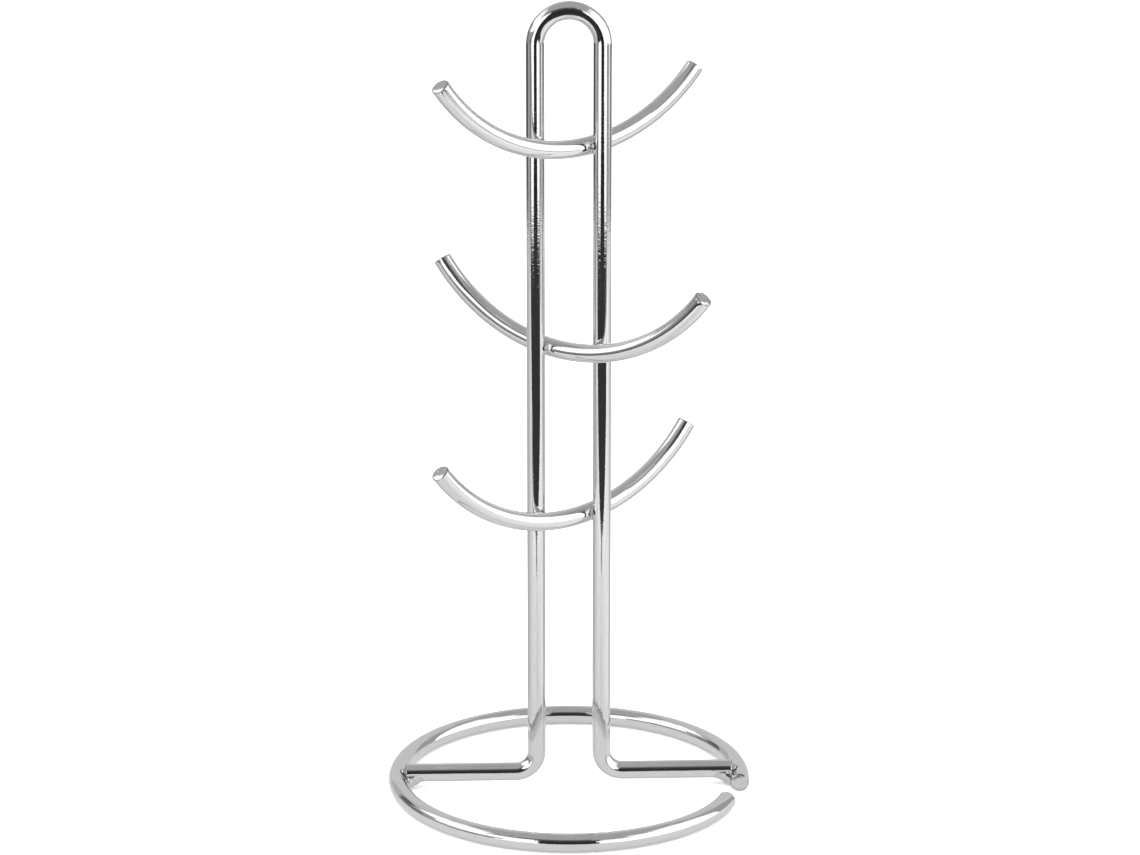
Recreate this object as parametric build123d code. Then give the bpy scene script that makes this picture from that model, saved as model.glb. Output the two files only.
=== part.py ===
from build123d import *
import os
from math import asin, cos, degrees, radians, sin, sqrt

# Mug tree for six mugs: five lengths of one round steel wire, bent cold, welded
# into a rigid stand and chrome plated as one.  Nothing on it moves.
#
# Frame: millimetres, +Z up.  The origin is on the table at the centre of the base
# ring, which is also the middle of the stand.  X runs along the two feet and -Y
# is the front.  The plane of the upright is Y = 0.

os.makedirs("parts", exist_ok=True)

# ---------------------------------------------------------------- wire
wire_diameter = 7.5          # the same bright drawn wire throughout
end_rounding = 0.6           # rim of a sheared end, softened by tumbling and plating

# ---------------------------------------------------------------- base ring
ring_outside_diameter = 148.5
ring_end_angle = 8.0         # where the first end stops, in front of the right foot, degrees
ring_gap = 15.6              # clear opening between the two ends, along the ring
ring_toe_in_sweep = 36.0     # the last stretch before the second end is rolled tighter, degrees
ring_toe_in_radius = 64.0    # centre-line radius of that stretch

# ---------------------------------------------------------------- upright
overall_height = 329.0       # table to the top of the arch
leg_spacing = 26.5           # between the centre lines of the two legs
foot_bend_radius = 8.7       # centre line of the bend between leg and foot
foot_rise = 2.5              # the feet lie this much above the middle of the ring

# ---------------------------------------------------------------- arms
arm_cut_length = 140.0       # straight length of wire in one arm
arm_bend_radius = 74.2       # centre line
# name, height of its lowest point, side of the left leg it passes (-1 front, +1 back),
# how far that point is off the middle of the stand, the roll round its curve in degrees,
# and how much wider than planned the bend sprang open
arm_settings = [
    ("top_arm", 269.4, -1, 3.3, -3.4, 2.8),
    ("middle_arm", 186.3, 1, 0.9, 0.0, 0.0),
    ("lower_arm", 116.0, -1, -1.7, 0.0, 0.0),
]

# ---------------------------------------------------------------- welds
arm_weld_depth = 0.45        # how far leg and arm are pressed into each other
arm_weld_size = 6.2          # width of the squeezed-out metal round that spot
foot_weld_depth = 0.6        # how far a foot end is pressed into the ring
foot_weld_length = 6.0       # of the bead along the foot
foot_weld_tuck = 0.35        # its narrow end starts this deep under the skin of the foot
foot_weld_width = 8.4        # of the bead where it meets the ring
foot_weld_overrun = 1.2      # how far the bead runs past the inner side of the ring
foot_weld_drop = 1.6         # how far its wide end hangs below the foot's centre line
foot_weld_forward = 1.0      # how far its wide end sits in front of that line

# ---------------------------------------------------------------- worked out
wire_radius = wire_diameter / 2
ring_radius = (ring_outside_diameter - wire_diameter) / 2
ring_height = wire_radius
half_spacing = leg_spacing / 2
foot_height = ring_height + foot_rise
foot_end = ring_radius - wire_radius + foot_weld_depth
arch_centre_height = overall_height - wire_radius - half_spacing
arm_to_leg = wire_diameter - arm_weld_depth
arm_turn = degrees(asin(arm_to_leg / half_spacing))


def wire_along(path):
    """Round wire that follows a path of tangent lines and arcs."""
    section = (path ^ 0) * Circle(wire_radius)
    return sweep(section, path=path)


def round_ends(wire):
    """Soften the rim of both sheared ends of a wire."""
    ends = wire.faces().filter_by(GeomType.PLANE)
    return fillet(ends.edges(), end_rounding)


def make_ring():
    """The base: wire rolled to a circle that stays open beside the right foot."""
    gap_angle = degrees(ring_gap / ring_radius)
    main_sweep = 360 - gap_angle - ring_toe_in_sweep
    toe_in_start = main_sweep - ring_end_angle
    main_arc = CenterArc((0, 0), ring_radius, -ring_end_angle, main_sweep)
    centre_shift = ring_radius - ring_toe_in_radius
    centre = (centre_shift * cos(radians(toe_in_start)), centre_shift * sin(radians(toe_in_start)))
    toe_in_arc = CenterArc(centre, ring_toe_in_radius, toe_in_start, ring_toe_in_sweep)
    path = Wire([main_arc, toe_in_arc])
    return Pos(0, 0, ring_height) * round_ends(wire_along(path))


def make_upright():
    """Foot, leg, arch, leg and foot in one wire, drawn in the X-Z plane."""
    left_foot = Line((-foot_end, foot_height), (-half_spacing - foot_bend_radius, foot_height))
    left_bend = JernArc(left_foot @ 1, left_foot % 1, foot_bend_radius, 90)
    left_leg = Line(left_bend @ 1, (-half_spacing, arch_centre_height))
    arch = JernArc(left_leg @ 1, left_leg % 1, half_spacing, -180)
    right_leg = Line(arch @ 1, (half_spacing, foot_height + foot_bend_radius))
    right_bend = JernArc(right_leg @ 1, right_leg % 1, foot_bend_radius, 90)
    right_foot = Line(right_bend @ 1, (foot_end, foot_height))
    path = Wire([left_foot, left_bend, left_leg, arch, right_leg, right_bend, right_foot])
    return wire_along(Plane.XZ * path)


def arm_plane(side):
    """Upright plane of an arm, turned so that it passes the legs on opposite sides."""
    turn = radians(-side * arm_turn)
    return Plane(origin=(0, 0, 0), x_dir=(cos(turn), sin(turn), 0), z_dir=(sin(turn), -cos(turn), 0))


def make_arm(height, side, offset, roll, radius):
    """One cup arm: a plain arc of wire with both ends up, a hook on each side."""
    straight_down = 270
    sweep_angle = degrees(arm_cut_length / radius)
    start = straight_down - sweep_angle / 2 + roll
    arc = CenterArc((offset, height + radius), radius, start, sweep_angle)
    return round_ends(wire_along(Wire([arm_plane(side) * arc])))


def arm_weld_centre(height, side, offset, radius, leg):
    """The spot halfway between the centre lines of an arm and a leg (-1 left, +1 right)."""
    along = leg * half_spacing * cos(radians(arm_turn))
    lift = radius - sqrt(radius ** 2 - (along - offset) ** 2)
    turn = radians(-side * arm_turn)
    on_arm = Vector(along * cos(turn), along * sin(turn), height + lift)
    on_leg = Vector(leg * half_spacing, 0, height + lift)
    return (on_arm + on_leg) / 2


def make_foot_weld(leg):
    """Bead under and in front of a foot, widening from the foot to the ring."""
    narrow = Plane(origin=(leg * (ring_radius - wire_radius - foot_weld_length), 0, foot_height),
                   z_dir=(leg, 0, 0))
    wide = Plane(origin=(leg * (ring_radius - wire_radius + foot_weld_overrun), -foot_weld_forward,
                         foot_height - foot_weld_drop), z_dir=(leg, 0, 0))
    return loft([narrow * Circle(wire_radius - foot_weld_tuck), wide * Circle(foot_weld_width / 2)])


ring = make_ring()
upright = make_upright() - ring
nodes = {"base_ring": ring, "upright_hairpin": upright}

for name, height, side, offset, roll, sprung in arm_settings:
    radius = arm_bend_radius + sprung
    arm = make_arm(height, side, offset, roll, radius) - upright
    nodes[name] = arm
    for leg, leg_name in ((-1, "left"), (1, "right")):
        centre = arm_weld_centre(height, side, offset, radius, leg)
        nugget = Pos(centre) * Sphere(arm_weld_size / 2)
        nodes[f"{name}_weld_{leg_name}"] = nugget - upright - arm

for leg, leg_name in ((-1, "left"), (1, "right")):
    nodes[f"foot_weld_{leg_name}"] = make_foot_weld(leg) - upright - ring

for node, shape in nodes.items():
    shape.label = node
    export_step(shape, f"parts/{node}.step")
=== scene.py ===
import math

import bmesh
import bpy
import numpy as np
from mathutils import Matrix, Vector


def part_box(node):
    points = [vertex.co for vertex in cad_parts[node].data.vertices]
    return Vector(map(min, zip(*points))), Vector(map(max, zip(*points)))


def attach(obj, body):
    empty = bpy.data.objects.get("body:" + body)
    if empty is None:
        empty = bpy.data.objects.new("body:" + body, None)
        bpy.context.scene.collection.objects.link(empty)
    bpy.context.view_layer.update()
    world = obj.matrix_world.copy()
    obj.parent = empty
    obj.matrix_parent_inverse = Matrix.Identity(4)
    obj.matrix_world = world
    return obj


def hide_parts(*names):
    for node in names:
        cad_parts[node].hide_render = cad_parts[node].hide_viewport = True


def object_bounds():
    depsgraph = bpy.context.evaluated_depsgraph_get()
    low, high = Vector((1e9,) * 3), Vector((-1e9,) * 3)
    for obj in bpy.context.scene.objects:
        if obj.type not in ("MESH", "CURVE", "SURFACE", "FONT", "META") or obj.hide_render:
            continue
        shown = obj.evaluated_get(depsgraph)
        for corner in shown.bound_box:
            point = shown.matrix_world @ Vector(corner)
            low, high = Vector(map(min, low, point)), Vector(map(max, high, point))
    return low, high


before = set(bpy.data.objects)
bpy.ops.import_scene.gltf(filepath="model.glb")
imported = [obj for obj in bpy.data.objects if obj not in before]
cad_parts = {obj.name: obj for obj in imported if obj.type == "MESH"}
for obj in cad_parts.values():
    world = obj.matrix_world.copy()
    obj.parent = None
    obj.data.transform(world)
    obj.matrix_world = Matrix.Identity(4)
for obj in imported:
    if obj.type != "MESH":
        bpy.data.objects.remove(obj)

cad_low, cad_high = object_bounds()
mm = 0.001


# ============================================================== base ring
# The foot of the stand: one length of round bright-drawn steel wire, rolled to an open
# circle. Its two ends are sheared off square, stop short of each other beside the right
# foot, and the last stretch before the second end is rolled a little tighter.

ring_low, ring_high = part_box("base_ring")
wire_radius = (ring_high.z - ring_low.z) / 2
ring_radius = (ring_high.x - ring_low.x) / 2 - wire_radius
ring_height = ring_low.z + wire_radius
ring_first_end = 8.0             # degrees in front of the right foot
ring_gap = 15.6 * mm
ring_tight_sweep = 36.0          # degrees
ring_tight_radius = 64.0 * mm


def add_object(name, data):
    """An object at the origin that shows some mesh, curve, light or camera."""
    obj = bpy.data.objects.new(name, data)
    bpy.context.scene.collection.objects.link(obj)
    return obj


def bend_wire(name, origin, across, up, start, heading, steps):
    """Centre line of a wire as it leaves the bender.

    The steps are ("feed", length) and ("bend", radius, degrees), in the plane of across and up.
    """
    widest_span = 30.0           # degrees of bend that one stretch of the curve covers
    x, y = start
    angle = math.radians(heading)
    knots = [[(x, y), None, None]]
    for kind, *sizes in steps:
        spans = 1 if kind == "feed" else math.ceil(abs(sizes[1]) / widest_span)
        for _ in range(spans):
            if kind == "feed":
                turn, reach = 0.0, sizes[0] / 3
                step_x, step_y = sizes[0] * math.cos(angle), sizes[0] * math.sin(angle)
            else:
                turn = math.radians(sizes[1]) / spans
                reach = 4 / 3 * math.tan(abs(turn) / 4) * sizes[0]
                chord = 2 * sizes[0] * math.sin(abs(turn) / 2)
                step_x = chord * math.cos(angle + turn / 2)
                step_y = chord * math.sin(angle + turn / 2)
            knots[-1][2] = (x + reach * math.cos(angle), y + reach * math.sin(angle))
            x, y, angle = x + step_x, y + step_y, angle + turn
            knots.append([(x, y), (x - reach * math.cos(angle), y - reach * math.sin(angle)), None])
    knots[0][1] = knots[0][0]
    knots[-1][2] = knots[-1][0]

    curve = bpy.data.curves.new(name, "CURVE")
    curve.dimensions = "3D"
    curve.resolution_u = 24
    spline = curve.splines.new("BEZIER")
    spline.bezier_points.add(len(knots) - 1)
    for point, places in zip(spline.bezier_points, knots):
        point.handle_left_type = point.handle_right_type = "FREE"
        there = [Vector(origin) + px * Vector(across) + py * Vector(up) for px, py in places]
        point.co, point.handle_left, point.handle_right = there
    return add_object(name, curve)


def maths_in(tree):
    """A function that adds one Math node to a tree and returns its result."""

    def maths(operation, *values):
        node = tree.nodes.new("ShaderNodeMath")
        node.operation = operation
        for socket, value in zip(node.inputs, values):
            if isinstance(value, bpy.types.NodeSocket):
                tree.links.new(value, socket)
            else:
                socket.default_value = value
        return node.outputs[0]

    return maths


def vectors_in(tree):
    """A function that adds one Vector Math node to a tree and returns its result."""

    def vectors(operation, *values, scale=None):
        node = tree.nodes.new("ShaderNodeVectorMath")
        node.operation = operation
        for socket, value in zip(node.inputs, values):
            if isinstance(value, bpy.types.NodeSocket):
                tree.links.new(value, socket)
            else:
                socket.default_value = value
        if scale is not None:
            tree.links.new(scale, node.inputs["Scale"])
        return node.outputs["Value" if operation == "DOT_PRODUCT" else "Vector"]

    return vectors


def drawn_wire_tree():
    """Round bar along a centre line, with two sheared faces whose rims are rolled over."""
    tree = bpy.data.node_groups.new("drawn_wire", "GeometryNodeTree")
    face = tree.interface
    face.new_socket("Centre line", in_out="INPUT", socket_type="NodeSocketGeometry")
    for title, kind, value in (
        ("Wire radius", "NodeSocketFloat", wire_radius),
        ("Rim radius", "NodeSocketFloat", 0.6 * mm),
        ("Row spacing", "NodeSocketFloat", 1.0 * mm),
        ("Faces around", "NodeSocketInt", 72),
        ("Rows on a cut", "NodeSocketInt", 9),
        ("Rows on a rim", "NodeSocketInt", 7),
        ("Cut roughness", "NodeSocketFloat", 0.25 * mm),
        ("Cut reach", "NodeSocketFloat", 2.4 * mm),
        ("Cut dullness", "NodeSocketFloat", 1.0),
        ("Rolled over", "NodeSocketFloat", 1.0 * mm),
        ("Rolled side", "NodeSocketVector", (0.0, 0.0, -1.0)),
        ("Seed", "NodeSocketFloat", 0.0),
        ("Plating", "NodeSocketMaterial", None),
    ):
        socket = face.new_socket(title, in_out="INPUT", socket_type=kind)
        if value is not None:
            socket.default_value = value
    face.new_socket("Wire", in_out="OUTPUT", socket_type="NodeSocketGeometry")
    given = tree.nodes.new("NodeGroupInput").outputs
    maths, vectors, link = maths_in(tree), vectors_in(tree), tree.links.new

    length_node = tree.nodes.new("GeometryNodeCurveLength")
    link(given["Centre line"], length_node.inputs["Curve"])
    length = length_node.outputs["Length"]
    end_rows = maths("ADD", given["Rows on a cut"], given["Rows on a rim"])
    straight = maths("SUBTRACT", length, maths("MULTIPLY", given["Rim radius"], 2.0))
    body_rows = maths("CEIL", maths("DIVIDE", straight, given["Row spacing"]))
    last_row = maths("ADD", maths("MULTIPLY", end_rows, 2.0), body_rows)

    grid = tree.nodes.new("GeometryNodeMeshGrid")
    link(last_row, grid.inputs["Size X"])
    link(given["Faces around"], grid.inputs["Size Y"])
    link(maths("ADD", last_row, 1.0), grid.inputs["Vertices X"])
    link(maths("ADD", given["Faces around"], 1.0), grid.inputs["Vertices Y"])
    place = tree.nodes.new("ShaderNodeSeparateXYZ")
    link(tree.nodes.new("GeometryNodeInputPosition").outputs[0], place.inputs[0])
    row = maths("ADD", place.outputs["X"], maths("MULTIPLY", last_row, 0.5))
    column = maths("ADD", place.outputs["Y"], maths("MULTIPLY", given["Faces around"], 0.5))

    # rows are counted from the nearer cut: over its face, round its rim, then down the bar
    from_cut = maths("MINIMUM", row, maths("SUBTRACT", last_row, row))
    over_face = maths("MINIMUM", maths("DIVIDE", from_cut, given["Rows on a cut"]), 1.0)
    past_face = maths("MAXIMUM", maths("SUBTRACT", from_cut, given["Rows on a cut"]), 0.0)
    round_rim = maths("MINIMUM", maths("DIVIDE", past_face, given["Rows on a rim"]), 1.0)
    rim_angle = maths("MULTIPLY", round_rim, math.pi / 2)
    face_radius = maths("SUBTRACT", given["Wire radius"], given["Rim radius"])
    radius = maths("ADD", maths("MULTIPLY", face_radius, over_face),
                   maths("MULTIPLY", given["Rim radius"], maths("SINE", rim_angle)))
    past_rim = maths("MAXIMUM", maths("SUBTRACT", from_cut, end_rows), 0.0)
    body_step = maths("DIVIDE", straight, body_rows)
    rim_depth = maths("MULTIPLY", given["Rim radius"],
                      maths("SUBTRACT", 1.0, maths("COSINE", rim_angle)))
    depth = maths("ADD", rim_depth, maths("MULTIPLY", past_rim, body_step))
    far_half = maths("GREATER_THAN", maths("MULTIPLY", row, 2.0), last_row)
    along = maths("ADD", depth, maths("MULTIPLY", far_half,
                  maths("SUBTRACT", length, maths("MULTIPLY", depth, 2.0))))

    sample = tree.nodes.new("GeometryNodeSampleCurve")
    sample.mode = "LENGTH"
    link(given["Centre line"], sample.inputs["Curves"])
    link(along, sample.inputs["Length"])
    side = vectors("CROSS_PRODUCT", sample.outputs["Normal"], sample.outputs["Tangent"])
    turn = maths("MULTIPLY", maths("DIVIDE", column, given["Faces around"]), 2 * math.pi)
    outward = vectors("ADD",
                      vectors("SCALE", sample.outputs["Normal"], scale=maths("COSINE", turn)),
                      vectors("SCALE", side, scale=maths("SINE", turn)))
    skin = vectors("ADD", sample.outputs["Position"], vectors("SCALE", outward, scale=radius))

    # the blade drags the metal over on the side where it came in, which bevels the cut
    bevel_start = 0.35
    share_of_reach = maths("DIVIDE", depth, given["Cut reach"])
    near_cut = maths("MAXIMUM", maths("SUBTRACT", 1.0, share_of_reach), 0.0)
    near_cut = maths("MULTIPLY", near_cut, near_cut)
    towards = maths("MULTIPLY", vectors("DOT_PRODUCT", outward, given["Rolled side"]), over_face)
    bevel = maths("MAXIMUM", maths("DIVIDE", maths("SUBTRACT", towards, bevel_start),
                                   1 - bevel_start), 0.0)
    dragged = maths("MULTIPLY", maths("MULTIPLY", given["Rolled over"], near_cut),
                    maths("MULTIPLY", bevel, bevel))
    inward = maths("SUBTRACT", 1.0, maths("MULTIPLY", far_half, 2.0))
    skin = vectors("ADD", skin, vectors("SCALE", sample.outputs["Tangent"],
                                        scale=maths("MULTIPLY", dragged, inward)))
    still_flat = maths("MAXIMUM", maths("SUBTRACT", 1.0, maths("MULTIPLY", bevel, 2.5)), 0.0)

    # it also leaves the cut and its rim uneven, which the plating rounds off
    grain = tree.nodes.new("ShaderNodeTexNoise")
    grain.noise_dimensions = "4D"
    grain.inputs["Scale"].default_value = 0.55 / mm
    grain.inputs["Detail"].default_value = 2.5
    link(skin, grain.inputs["Vector"])
    link(given["Seed"], grain.inputs["W"])
    uneven = maths("MULTIPLY", near_cut,
                   maths("MULTIPLY", given["Cut roughness"],
                         maths("SUBTRACT", grain.outputs["Fac"], 0.55)))
    skin = vectors("ADD", skin, vectors("SCALE", sample.outputs["Tangent"], scale=uneven))
    skin = vectors("ADD", skin, vectors("SCALE", outward, scale=uneven))

    # what is known of each point while it still lies on the grid
    flat_face = maths("MULTIPLY", maths("SUBTRACT", 1.0, round_rim), still_flat)
    middle_of_rim = maths("MULTIPLY", maths("MULTIPLY", round_rim, 4.0),
                          maths("SUBTRACT", 1.0, round_rim))
    capture = tree.nodes.new("GeometryNodeCaptureAttribute")
    link(grid.outputs["Mesh"], capture.inputs["Geometry"])
    for title, value in (
        ("along", along),
        ("round", maths("MULTIPLY", turn, given["Wire radius"])),
        ("sheared", maths("MULTIPLY", flat_face, given["Cut dullness"])),
        # painted shade: a dark line painted along the middle of each rim
        ("crevice", maths("MULTIPLY", maths("POWER", middle_of_rim, 2.5), 0.6)),
    ):
        capture.capture_items.new("FLOAT", title)
        link(value, capture.inputs[title])
    shape = tree.nodes.new("GeometryNodeSetPosition")
    link(capture.outputs["Geometry"], shape.inputs["Geometry"])
    link(skin, shape.inputs["Position"])

    def store(title, data_type, domain, value):
        node = tree.nodes.new("GeometryNodeStoreNamedAttribute")
        node.data_type = data_type
        node.domain = domain
        node.inputs["Name"].default_value = title
        link(value, node.inputs["Value"])
        return node

    # the pattern's own coordinates are metres along the wire and metres round it
    uv = tree.nodes.new("ShaderNodeCombineXYZ")
    link(capture.outputs["along"], uv.inputs["X"])
    link(capture.outputs["round"], uv.inputs["Y"])

    merge = tree.nodes.new("GeometryNodeMergeByDistance")
    merge.inputs["Distance"].default_value = 0.001 * mm
    smooth = tree.nodes.new("GeometryNodeSetShadeSmooth")
    realize = tree.nodes.new("GeometryNodeRealizeInstances")
    paint = tree.nodes.new("GeometryNodeSetMaterial")
    out = tree.nodes.new("NodeGroupOutput")
    chain = [
        shape,
        store("UVMap", "FLOAT2", "CORNER", uv.outputs[0]),
        store("sheared", "FLOAT", "POINT", capture.outputs["sheared"]),
        store("crevice", "FLOAT", "POINT", capture.outputs["crevice"]),
        merge, smooth, realize, paint,
    ]
    for before, after in zip(chain, chain[1:]):
        link(before.outputs[0], after.inputs[0])
    link(given["Plating"], paint.inputs["Material"])
    link(paint.outputs[0], out.inputs[0])
    return tree


def chrome(name, colour, dull, scratch, band, pits):
    """Bright chrome over nickel: a mirror with faint drawing marks and a slight orange peel."""
    material = bpy.data.materials.new(name)
    material.use_nodes = True
    tree = material.node_tree
    link = tree.links.new
    metal = tree.nodes["Principled BSDF"]
    metal.inputs["Metallic"].default_value = 1.0
    coords = tree.nodes.new("ShaderNodeTexCoord")

    def noise(vector, scale, detail):
        node = tree.nodes.new("ShaderNodeTexNoise")
        node.inputs["Scale"].default_value = scale
        node.inputs["Detail"].default_value = detail
        link(vector, node.inputs["Vector"])
        return node.outputs["Fac"]

    def spread(value, low, high, to_low, to_high):
        node = tree.nodes.new("ShaderNodeMapRange")
        node.inputs["From Min"].default_value = low
        node.inputs["From Max"].default_value = high
        node.inputs["To Min"].default_value = to_low
        node.inputs["To Max"].default_value = to_high
        link(value, node.inputs["Value"])
        return node.outputs["Result"]

    def stretched(scale):
        node = tree.nodes.new("ShaderNodeMapping")
        node.inputs["Scale"].default_value = scale
        link(coords.outputs["UV"], node.inputs["Vector"])
        return node.outputs[0]

    def attribute(title):
        node = tree.nodes.new("ShaderNodeAttribute")
        node.attribute_name = title
        return node.outputs["Fac"]

    def mix(factor, first, second):
        node = tree.nodes.new("ShaderNodeMix")
        node.data_type = "RGBA"
        link(factor, node.inputs["Factor"])
        for socket, value in ((node.inputs["A"], first), (node.inputs["B"], second)):
            if isinstance(value, bpy.types.NodeSocket):
                link(value, socket)
            else:
                socket.default_value = (*value, 1.0)
        return node.outputs["Result"]

    def shaded(share):
        return [c * share for c in colour]

    # drawing marks run along the wire, and the straightening rolls leave faint bands round it
    marks = noise(stretched((1.0, 14.0, 1.0)), 0.16 / mm, 3.0)
    bands = noise(stretched((1.0, 0.55, 1.0)), 0.8 / mm, 3.0)
    peel = noise(coords.outputs["Object"], 1.6 / mm, 1.0)
    cloud = noise(coords.outputs["Object"], 0.06 / mm, 3.0)

    # a sheared face is duller and greyer; painted shade darkens the middle of each rim and the corner
    # beside a weld's joint
    maths = maths_in(tree)
    sheared = attribute("sheared")
    satin = maths("MULTIPLY", sheared, 0.22)
    link(maths("ADD", spread(cloud, 0.3, 0.7, dull * 0.7, dull * 1.4), satin), metal.inputs["Roughness"])
    tint = mix(spread(marks, 0.35, 0.6, 0.0, 1.0), shaded(0.93), colour)
    grey = mix(sheared, tint, shaded(0.72))
    # painted shade: near black wherever the crevice attribute is set
    link(mix(attribute("crevice"), grey, (0.03, 0.03, 0.03)), metal.inputs["Base Color"])

    normal = None
    for height, distance in ((marks, scratch), (bands, band), (peel, pits)):
        bump = tree.nodes.new("ShaderNodeBump")
        bump.inputs["Distance"].default_value = distance
        link(height, bump.inputs["Height"])
        if normal is not None:
            link(normal, bump.inputs["Normal"])
        normal = bump.outputs["Normal"]
    link(normal, metal.inputs["Normal"])
    return material


def make_wire(centre_line, node, seed, rolled_side, cut_roughness=0.3 * mm, cut_dullness=1.0):
    """Runs the drawn-wire tree on a centre line and keeps the result as a plain mesh."""
    name = centre_line.name
    modifier = centre_line.modifiers.new("drawn_wire", "NODES")
    modifier.node_group = wire_tree
    sockets = {s.name: s.identifier for s in wire_tree.interface.items_tree if s.in_out == "INPUT"}
    modifier[sockets["Seed"]] = seed
    modifier[sockets["Rolled side"]] = rolled_side
    modifier[sockets["Cut roughness"]] = cut_roughness
    modifier[sockets["Cut dullness"]] = cut_dullness
    modifier[sockets["Plating"]] = wire_chrome
    shapes = bpy.context.evaluated_depsgraph_get()
    mesh = bpy.data.meshes.new_from_object(centre_line.evaluated_get(shapes), depsgraph=shapes)
    bpy.data.objects.remove(centre_line)
    wire = add_object(name, mesh)
    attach(wire, "root")
    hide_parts(node)
    return wire


wire_tree = drawn_wire_tree()
wire_chrome = chrome("chrome_wire", (0.80, 0.80, 0.81), dull=0.04,
                     scratch=0.002 * mm, band=0.011 * mm, pits=0.007 * mm)

ring_main_sweep = 360 - math.degrees(ring_gap / ring_radius) - ring_tight_sweep
first_end = math.radians(-ring_first_end)
ring_line = bend_wire(
    "ring_wire", (0, 0, ring_height), (1, 0, 0), (0, 1, 0),
    (ring_radius * math.cos(first_end), ring_radius * math.sin(first_end)), 90 - ring_first_end,
    [("bend", ring_radius, ring_main_sweep), ("bend", ring_tight_radius, ring_tight_sweep)],
)
make_wire(ring_line, "base_ring", seed=1.0, rolled_side=(-0.2, 0.0, 0.6), cut_dullness=0.25)


# ============================================================== upright
# The post and its carrying loop in one wire: left foot, left leg, a half-round arch at
# the top, right leg and right foot, all bent in one plane. Each foot is butted against
# the inner side of the ring and welded there, a little above the middle of the ring wire.

upright_low, upright_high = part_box("upright_hairpin")
foot_height = upright_low.z + wire_radius
foot_end = upright_high.x
leg_spacing = 26.5 * mm
foot_bend = 8.7 * mm
leg_length = upright_high.z - wire_radius - leg_spacing / 2 - foot_height - foot_bend
foot_length = foot_end - leg_spacing / 2 - foot_bend

upright_line = bend_wire(
    "upright_wire", (0, 0, 0), (1, 0, 0), (0, 0, 1), (-foot_end, foot_height), 0,
    [("feed", foot_length), ("bend", foot_bend, 90), ("feed", leg_length),
     ("bend", leg_spacing / 2, -180),
     ("feed", leg_length), ("bend", foot_bend, 90), ("feed", foot_length)],
)
make_wire(upright_line, "upright_hairpin", seed=2.0, rolled_side=(0.0, 0.0, -1.0))


# ============================================================== cup arms
# Three 140 mm lengths of the same wire, each bent to one plain arc with both ends up.
# An arm passes in front of one leg and behind the other, so it lies turned in plan, and
# the middle arm is turned the other way. Mugs hang by their handles on both sides.

arm_cut_length = 140.0 * mm
planned_bend = 74.2 * mm
arm_press = 0.45 * mm            # leg and arm are pressed this far into each other
arm_turn = math.asin((2 * wire_radius - arm_press) / (leg_spacing / 2))
# side of the left leg that it passes (-1 front), lowest point off the middle, roll in degrees,
# how much wider than planned the bend sprang open
arm_settings = {
    "top_arm": (-1, 3.3 * mm, -3.4, 2.8 * mm),
    "middle_arm": (1, 0.9 * mm, 0.0, 0.0),
    "lower_arm": (-1, -1.7 * mm, 0.0, 0.0),
}
arm_cut_roughness = {"top_arm": 0.35 * mm, "middle_arm": 0.8 * mm, "lower_arm": 0.5 * mm}


def arm_across(side):
    """Direction in plan of an arm, from its left end to its right end."""
    return Vector((math.cos(arm_turn), -side * math.sin(arm_turn), 0))


for count, (arm_name, (side, offset, roll, sprung)) in enumerate(arm_settings.items()):
    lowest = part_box(arm_name)[0].z + wire_radius
    arm_bend = planned_bend + sprung
    arm_sweep = math.degrees(arm_cut_length / arm_bend)
    left_end = math.radians(roll - arm_sweep / 2)
    arm_line = bend_wire(
        arm_name + "_wire", (offset * arm_across(side).x, offset * arm_across(side).y, lowest + arm_bend),
        arm_across(side), (0, 0, 1),
        (arm_bend * math.sin(left_end), -arm_bend * math.cos(left_end)), math.degrees(left_end),
        [("bend", arm_bend, arm_sweep)],
    )
    make_wire(arm_line, arm_name, seed=3.0 + count, rolled_side=(0.0, -0.5, -0.85),
              cut_roughness=arm_cut_roughness[arm_name])


# ============================================================== arm welds
# Cross-wire resistance welds, one wherever an arm crosses a leg. The two wires sink into
# each other under the electrodes, and the squeezed-out steel freezes as a small uneven
# collar round the spot, which the plating then covers.

weld_chrome = chrome("chrome_weld", (0.68, 0.68, 0.69), dull=0.12,
                     scratch=0.0, band=0.0, pits=0.06 * mm)


def smooth_union(first, second, blend):
    """Distance to two solids joined by a fillet of about that blend."""
    share = np.clip(0.5 + 0.5 * (second - first) / blend, 0, 1)
    return second + (first - second) * share - blend * share * (1 - share)


def grow_weld(name, node, centre, reach, distance, to_joint, painted_shade_width):
    """Pushes a fine ball out from the middle of a weld until it meets the skin of the metal."""
    sink = 0.02 * mm             # the ball stops this far under the skin
    shortest = 0.05 * mm
    caution = 0.6                # share of the remaining way that one step covers
    ball = bpy.data.meshes.new(name)
    bm = bmesh.new()
    bmesh.ops.create_icosphere(bm, subdivisions=6, radius=1.0)
    rays = np.array([v.co.normalized() for v in bm.verts])
    travelled = np.full(len(rays), 0.1 * mm)
    for _ in range(60):
        skin = distance(np.array(centre) + rays * travelled[:, None], rays) + sink
        travelled = np.clip(travelled - caution * skin, shortest, reach)
    for vert, ray, far in zip(bm.verts, rays, travelled):
        vert.co = Vector(centre) + Vector(ray) * far
    bm.to_mesh(ball)
    bm.free()
    # painted shade: the narrow corner beside the joint is painted dark
    depth = to_joint(np.array(centre) + rays * travelled[:, None])
    crevice = np.clip(1.5 * (1 - depth / painted_shade_width), 0, 1)
    darkness = ball.attributes.new("crevice", "FLOAT", "POINT")
    darkness.data.foreach_set("value", crevice.astype(np.float32))
    ball.polygons.foreach_set("use_smooth", [True] * len(ball.polygons))
    ball.materials.append(weld_chrome)
    weld = add_object(name, ball)
    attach(weld, "root")
    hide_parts(node)
    return weld


def to_leg(points, leg):
    """Distance to the skin of a leg, -1 the left one and 1 the right one."""
    return np.hypot(points[:, 0] - leg * leg_spacing / 2, points[:, 1]) - wire_radius


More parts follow.
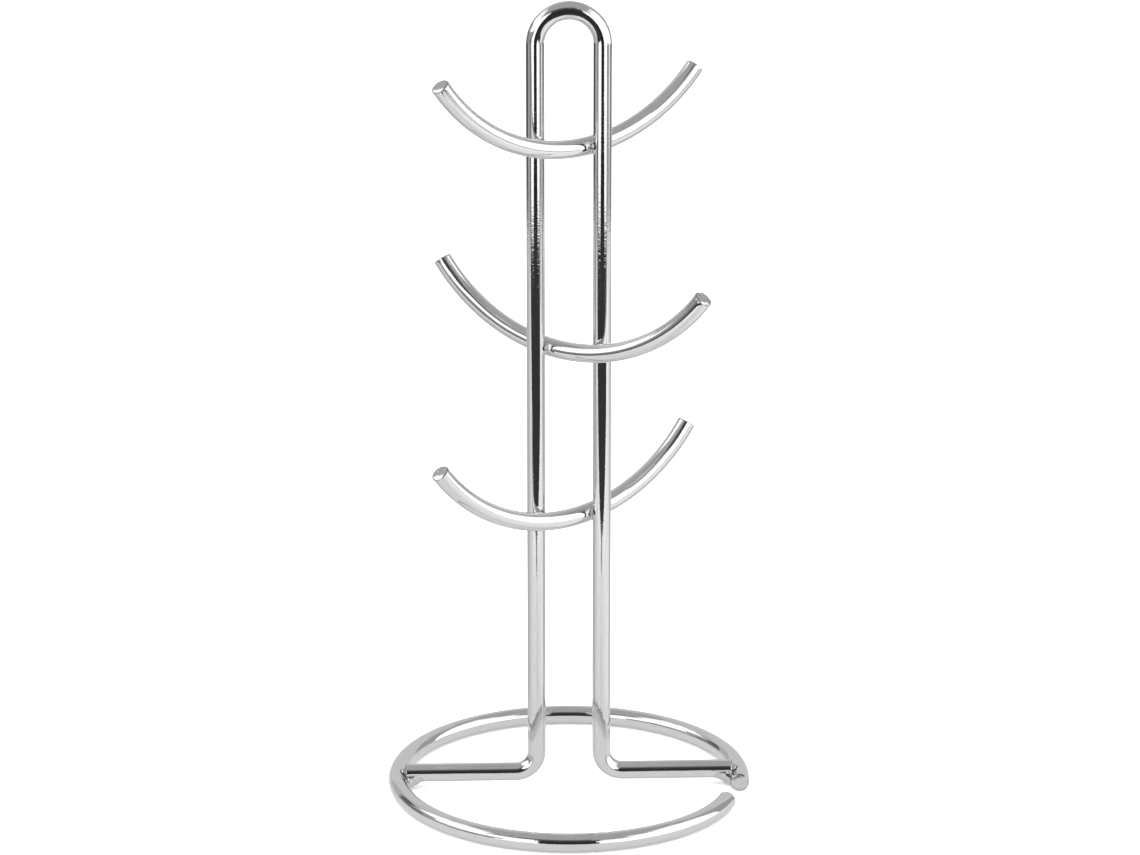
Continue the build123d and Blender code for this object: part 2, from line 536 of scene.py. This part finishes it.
def to_arm(points, side, offset, lowest, arm_bend):
    """Distance to the skin of an arm."""
    across = np.array(arm_across(side))
    normal = np.array((-across[1], across[0], 0))
    from_middle = np.hypot(points @ across - offset, points[:, 2] - lowest - arm_bend)
    return np.hypot(from_middle - arm_bend, points @ normal) - wire_radius


def collar(points, rays, leg, arm, phase):
    """Distance to the skin of the uneven metal squeezed out between a leg and an arm."""
    # a few bulges round the collar, placed differently on each weld
    lumps = np.sin(5 * rays[:, 2] + phase) * np.cos(4 * rays[:, 0] - 2 * phase)
    blend = (1.7 + 0.5 * lumps) * mm
    return smooth_union(to_leg(points, leg), to_arm(points, *arm), blend)


collar_reach = 3.5 * mm
# how far from the leg the painted shade on a collar reaches
collar_painted_shade = 0.22 * mm

for count, (arm_name, (side, offset, roll, sprung)) in enumerate(arm_settings.items()):
    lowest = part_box(arm_name)[0].z + wire_radius
    arm_bend = planned_bend + sprung
    arm = (side, offset, lowest, arm_bend)
    for leg, leg_name in ((-1, "left"), (1, "right")):
        along = leg * leg_spacing / 2 * math.cos(arm_turn)
        height = lowest + arm_bend - math.sqrt(arm_bend ** 2 - (along - offset) ** 2)
        on_arm = along * arm_across(side)
        middle = (on_arm + Vector((leg * leg_spacing / 2, 0, 0))) / 2
        phase = 1.7 * count + 0.9 * leg
        grow_weld(f"{arm_name}_collar_{leg_name}", f"{arm_name}_weld_{leg_name}",
                  (middle.x, middle.y, height), collar_reach,
                  lambda points, rays: collar(points, rays, leg, arm, phase),
                  lambda points: to_leg(points, leg), collar_painted_shade)


# ============================================================== foot welds
# Each foot end is welded to the inner side of the ring from in front and below. The bead
# runs out along the foot as a lumpy gusset, left as it froze and plated over.

def to_foot(points, leg):
    """Distance to the skin of a foot."""
    past_end = np.maximum(points[:, 0] * leg - foot_end, 0)
    return np.hypot(np.hypot(points[:, 1], points[:, 2] - foot_height), past_end) - wire_radius


def to_ring(points):
    """Distance to the skin of the ring."""
    from_axis = np.hypot(points[:, 0], points[:, 1]) - ring_radius
    return np.hypot(from_axis, points[:, 2] - ring_height) - wire_radius


def bead(points, rays, leg):
    """Distance to the skin of the lumpy gusset that widens from a foot to the ring."""
    thin = np.array((leg * (foot_end - 6.2 * mm), -0.8 * mm, foot_height - 0.8 * mm))
    thick = np.array((leg * (foot_end - 1.4 * mm), -1.6 * mm, foot_height - 2.3 * mm))
    spine = thick - thin
    share = np.clip((points - thin) @ spine / np.dot(spine, spine), 0, 1)
    spot = points - thin - share[:, None] * spine
    lumps = np.sin(2.3 * spot[:, 0] / mm + leg + 4 * share) * np.cos(2.6 * spot[:, 2] / mm)
    lumps += 0.7 * np.sin(3.1 * spot[:, 1] / mm - 7 * share + leg)
    gusset_radius = (2.7 + 0.7 * share) * mm
    gusset = np.linalg.norm(spot, axis=1) - gusset_radius + 0.16 * mm * lumps * (0.3 + share)
    wires = smooth_union(to_foot(points, leg), to_ring(points), 0.7 * mm)
    # above and behind, the bead stays inside the wires
    tucked = 1.6 * mm * np.clip(0.3 + 0.6 * rays[:, 1] + 0.8 * rays[:, 2], 0, 1)
    return smooth_union(wires, gusset, 0.5 * mm) + tucked


bead_reach = 6.5 * mm
# how far from the ring the painted shade on a bead reaches
bead_painted_shade = 0.45 * mm

for leg, leg_name in ((-1, "left"), (1, "right")):
    grow_weld(f"foot_bead_{leg_name}", f"foot_weld_{leg_name}",
              (leg * (foot_end - 2.8 * mm), -0.9 * mm, foot_height - 1.2 * mm), bead_reach,
              lambda points, rays: bead(points, rays, leg), to_ring, bead_painted_shade)


# ============================================================== studio table
# A pale floor without seam. Chrome shows only glowing sheets that stand round it, painted with
# the reflections of a studio: a white table top with a dark strip at its front edge, rings of
# pale and dark cards round the table, and a grey ceiling. These reach the metal only and cast no shadow.

def plain(name, colour, rough):
    """Matt paint."""
    material = bpy.data.materials.new(name)
    material.use_nodes = True
    surface = material.node_tree.nodes["Principled BSDF"]
    surface.inputs["Base Color"].default_value = (*colour, 1.0)
    surface.inputs["Roughness"].default_value = rough
    return material


def sheet(name, low, high, height):
    """A flat level rectangle."""
    mesh = bpy.data.meshes.new(name)
    corners = [(low[0], low[1], height), (high[0], low[1], height),
               (high[0], high[1], height), (low[0], high[1], height)]
    mesh.from_pydata(corners, [], [(0, 1, 2, 3)])
    obj = add_object(name, mesh)
    return obj


def for_metal_only(obj):
    """Seen in reflections, and nowhere else."""
    obj.visible_camera = False
    obj.visible_diffuse = False
    obj.visible_shadow = False
    obj.visible_transmission = False


floor = sheet("floor", (-9, -9), (9, 9), cad_low.z - 0.05 * mm)
floor.data.materials.append(plain("floor_paint", (0.93, 0.93, 0.93), 0.9))
floor.visible_glossy = False


def glow(name):
    """An emission material, its tree and its emission shader."""
    material = bpy.data.materials.new(name)
    material.use_nodes = True
    material.cycles.emission_sampling = "NONE"
    tree = material.node_tree
    tree.nodes.remove(tree.nodes["Principled BSDF"])
    light = tree.nodes.new("ShaderNodeEmission")
    tree.links.new(light.outputs[0], tree.nodes["Material Output"].inputs["Surface"])
    return material, tree, light


def ramp(tree, value, stops):
    """Brightness that follows a value through a list of (value, brightness) stops."""
    low, high = stops[0][0], stops[-1][0]
    scale = tree.nodes.new("ShaderNodeMapRange")
    scale.inputs["From Min"].default_value = low
    scale.inputs["From Max"].default_value = high
    tree.links.new(value, scale.inputs["Value"])
    colours = tree.nodes.new("ShaderNodeValToRGB")
    points = colours.color_ramp.elements
    while len(points) < len(stops):
        points.new(0.5)
    for point, (at, _) in zip(points, stops):
        point.position = (at - low) / (high - low)
    for point, (_, bright) in zip(points, stops):
        point.color = (bright, bright, bright, 1.0)
    tree.links.new(scale.outputs[0], colours.inputs[0])
    return colours.outputs[0]


table_front = -0.325
table_card = sheet("table_card", (-0.79, table_front), (0.75, 0.75), cad_low.z - 0.1 * mm)
material, tree, light = glow("table_glow")
maths = maths_in(tree)
place = tree.nodes.new("ShaderNodeSeparateXYZ")
tree.links.new(tree.nodes.new("ShaderNodeTexCoord").outputs["Object"], place.inputs[0])
towards_front = maths("MULTIPLY", place.outputs["Y"], -1.0)
bearing = maths("DEGREES", maths("ARCTAN2", place.outputs["X"], towards_front))
# painted reflection: the table's brightness changes with bearing round the base, as the light falls on it
far_table = ramp(tree, bearing, [
    (-180, 0.66), (-150, 0.68), (-120, 0.56), (-105, 0.60), (-90, 0.66), (-75, 0.80), (-45, 0.84),
    (-30, 0.88), (0, 0.76), (30, 0.87), (45, 0.92), (75, 1.0), (90, 0.98), (105, 0.68), (120, 0.62),
    (135, 0.68), (150, 0.76), (180, 0.66),
])
# within and just round the base the painted table reflection is even, and a painted contact shadow
# darkens it right beside the wires
evenly_lit_to = 0.07
far_table_from = 0.13
shade_width = 4.5 * mm
darkest_shade = 0.72
from_middle = maths("SQRT", maths("ADD", maths("POWER", place.outputs["X"], 2.0),
                                  maths("POWER", place.outputs["Y"], 2.0)))
from_ring = maths("SUBTRACT", from_middle, ring_radius)
from_feet = maths("MAXIMUM", maths("ABSOLUTE", place.outputs["Y"]), from_ring)
gap_angle = math.degrees(ring_gap / ring_radius)
gap_middle = 90 - ring_first_end - gap_angle / 2
off_gap_middle = maths("ABSOLUTE", maths("SUBTRACT", bearing, gap_middle))
into_gap = maths("MULTIPLY", maths("SUBTRACT", gap_angle / 2, off_gap_middle),
                 ring_radius * math.radians(1))
from_ring_wire = maths("MAXIMUM", maths("ABSOLUTE", from_ring), into_gap)
from_wires = maths("MINIMUM", from_ring_wire, from_feet)
near = tree.nodes.new("ShaderNodeMapRange")
near.inputs["From Min"].default_value = evenly_lit_to
near.inputs["From Max"].default_value = far_table_from
tree.links.new(from_middle, near.inputs["Value"])
table_colour = tree.nodes.new("ShaderNodeMix")
table_colour.data_type = "RGBA"
table_colour.inputs["A"].default_value = (0.80, 0.80, 0.80, 1.0)
tree.links.new(near.outputs["Result"], table_colour.inputs["Factor"])
tree.links.new(far_table, table_colour.inputs["B"])
tree.links.new(table_colour.outputs["Result"], light.inputs["Color"])
shade = tree.nodes.new("ShaderNodeMapRange")
shade.inputs["From Max"].default_value = shade_width
shade.inputs["To Min"].default_value = darkest_shade
tree.links.new(from_wires, shade.inputs["Value"])
# painted highlight: the table glows brighter towards its front edge
table_strength = ramp(tree, place.outputs["Y"], [
    (table_front, 1.3), (-0.285, 1.25), (-0.25, 1.1), (-0.15, 1.0), (0.0, 0.97), (0.2, 0.9), (0.75, 0.9),
])
tree.links.new(maths("MULTIPLY", table_strength, shade.outputs["Result"]), light.inputs["Strength"])
table_card.data.materials.append(material)
for_metal_only(table_card)

# painted dark reflection: a dim glowing strip lies just above the table card and closes the middle of its
# front edge
dark_strip = sheet("dark_strip", (-0.045, table_front - 0.001), (0.035, -0.272),
                   cad_low.z - 0.09 * mm)
material, tree, light = glow("strip_glow")
light.inputs["Strength"].default_value = 0.30
dark_strip.data.materials.append(material)
for_metal_only(dark_strip)

# rings of glowing cards round the table, seen only in the chrome as painted reflections of the studio:
# elevation from and to, then where each card starts and its brightness, in degrees round from
# the front, positive to the right
card_distance = 2.5
card_rings = [
    (-90, -18.5, [(-180, 0.60), (-64, 0.04), (18, 0.85)]),
    (-18.5, -9.5, [(-180, 0.66), (-64, 0.04), (52, 0.90)]),
    (-9.5, -7.5, [
        (-180, 0.50), (-149, 0.25), (-135, 0.08), (-102, 0.42), (-74, 0.30), (-67, 0.14), (-58, 0.45),
        (-52, 1.5), (-24, 0.02), (22, 1.5), (47, 0.40), (67, 0.30), (78, 0.70), (92, 0.40), (102, 0.30),
        (111, 0.20), (129, 0.45), (141, 0.85), (163, 0.60)]),
    (-7.5, -3.5, [
        (-180, 0.50), (-149, 0.25), (-135, 0.07), (-107, 0.13), (-99, 0.42), (-74, 0.30), (-67, 0.14),
        (-58, 0.45), (-52, 1.5), (-19, 0.02), (17, 1.5), (49, 0.40), (67, 0.16), (73, 0.45), (78, 1.2),
        (91, 0.60), (99, 0.35), (109, 0.14), (129, 0.45), (141, 0.85), (163, 0.60)]),
    (-3.5, 5, [
        (-180, 0.66), (-150, 0.55), (-132, 0.20), (-97, 0.40), (-80, 0.22), (-48, 1.5), (-20, 0.03),
        (16, 1.5), (106, 0.40), (132, 0.65)]),
    (5, 15, [
        (-180, 0.66), (-150, 0.50), (-132, 0.18), (-104, 0.40), (-70, 0.30), (-43, 1.5), (-21, 0.03),
        (16, 1.5), (106, 0.40), (132, 0.65)]),
    (15, 27, [
        (-180, 0.66), (-150, 0.50), (-136, 0.12), (-120, 0.45), (-95, 1.5), (-21, 0.03), (15, 1.5),
        (106, 0.40), (132, 0.65)]),
    (27, 38, [
        (-180, 0.66), (-140, 0.55), (-118, 1.5), (-24, 0.05), (19, 1.1), (42, 1.5), (106, 0.40),
        (132, 0.65)]),
    (38, 50, [
        (-180, 0.62), (-122, 1.3), (-62, 0.30), (-40, 0.12), (14, 0.35), (42, 1.4), (108, 0.42),
        (132, 0.62)]),
    (50, 57, [(-180, 0.55), (-115, 1.2), (-75, 0.40), (-20, 0.36), (14, 0.42), (70, 1.2), (105, 0.42)]),
    (57, 90, [(-180, 0.43)]),
]
corners, faces, glows = [], [], []
for bottom, top, cards in card_rings:
    for (start, bright), (end, _) in zip(cards, cards[1:] + [(180, None)]):
        steps = math.ceil((end - start) / 10)
        for step in range(steps):
            for rise in (bottom, top):
                for k in (step, step + 1):
                    turn = math.radians(start + (end - start) * k / steps)
                    level = math.radians(rise)
                    corners.append((card_distance * math.sin(turn) * math.cos(level),
                                    -card_distance * math.cos(turn) * math.cos(level),
                                    card_distance * math.sin(level)))
            made = len(corners)
            faces.append((made - 4, made - 3, made - 1, made - 2))
            glows.append(bright)
card_mesh = bpy.data.meshes.new("cards")
card_mesh.from_pydata(corners, [], faces)
card_brightness = card_mesh.attributes.new("brightness", "FLOAT", "FACE")
card_brightness.data.foreach_set("value", glows)
cards = add_object("cards", card_mesh)
material, tree, light = glow("card_glow")
brightness = tree.nodes.new("ShaderNodeAttribute")
brightness.attribute_name = "brightness"
tree.links.new(brightness.outputs["Fac"], light.inputs["Strength"])
card_mesh.materials.append(material)
for_metal_only(cards)

world = bpy.data.worlds.new("daylight")
bpy.context.scene.world = world
world.use_nodes = True
world.node_tree.nodes["Background"].inputs["Color"].default_value = (1.0, 1.0, 1.0, 1.0)
world.node_tree.nodes["Background"].inputs["Strength"].default_value = 2.4

soft_light = bpy.data.lights.new("overhead_softbox", "AREA")
soft_light.size = 1.6
soft_light.energy = 6.0
overhead = add_object("overhead_softbox", soft_light)
overhead.location = (-0.5, -0.6, 1.8)
overhead.rotation_euler = Vector((-0.5, -0.6, 1.7)).to_track_quat("Z", "Y").to_euler()
overhead.visible_glossy = False
bpy.context.scene.view_settings.view_transform = "Standard"


# ============================================================== camera
# A long lens from in front, slightly to the left, looking down on the stand.

camera_distance = 1.700
camera_height = 0.689
camera_yaw = math.radians(2.11)
camera_aim = math.radians(2.124)
camera_pitch = math.radians(17.457)
lens = bpy.data.cameras.new("camera")
lens.sensor_width = 36.0
lens.lens = 139.95
lens.clip_end = 50.0
camera = add_object("camera", lens)
camera.location = (-camera_distance * math.sin(camera_yaw),
                   -camera_distance * math.cos(camera_yaw),
                   camera_height)
camera.rotation_euler = (math.pi / 2 - camera_pitch, 0, -camera_aim)
bpy.context.scene.camera = camera
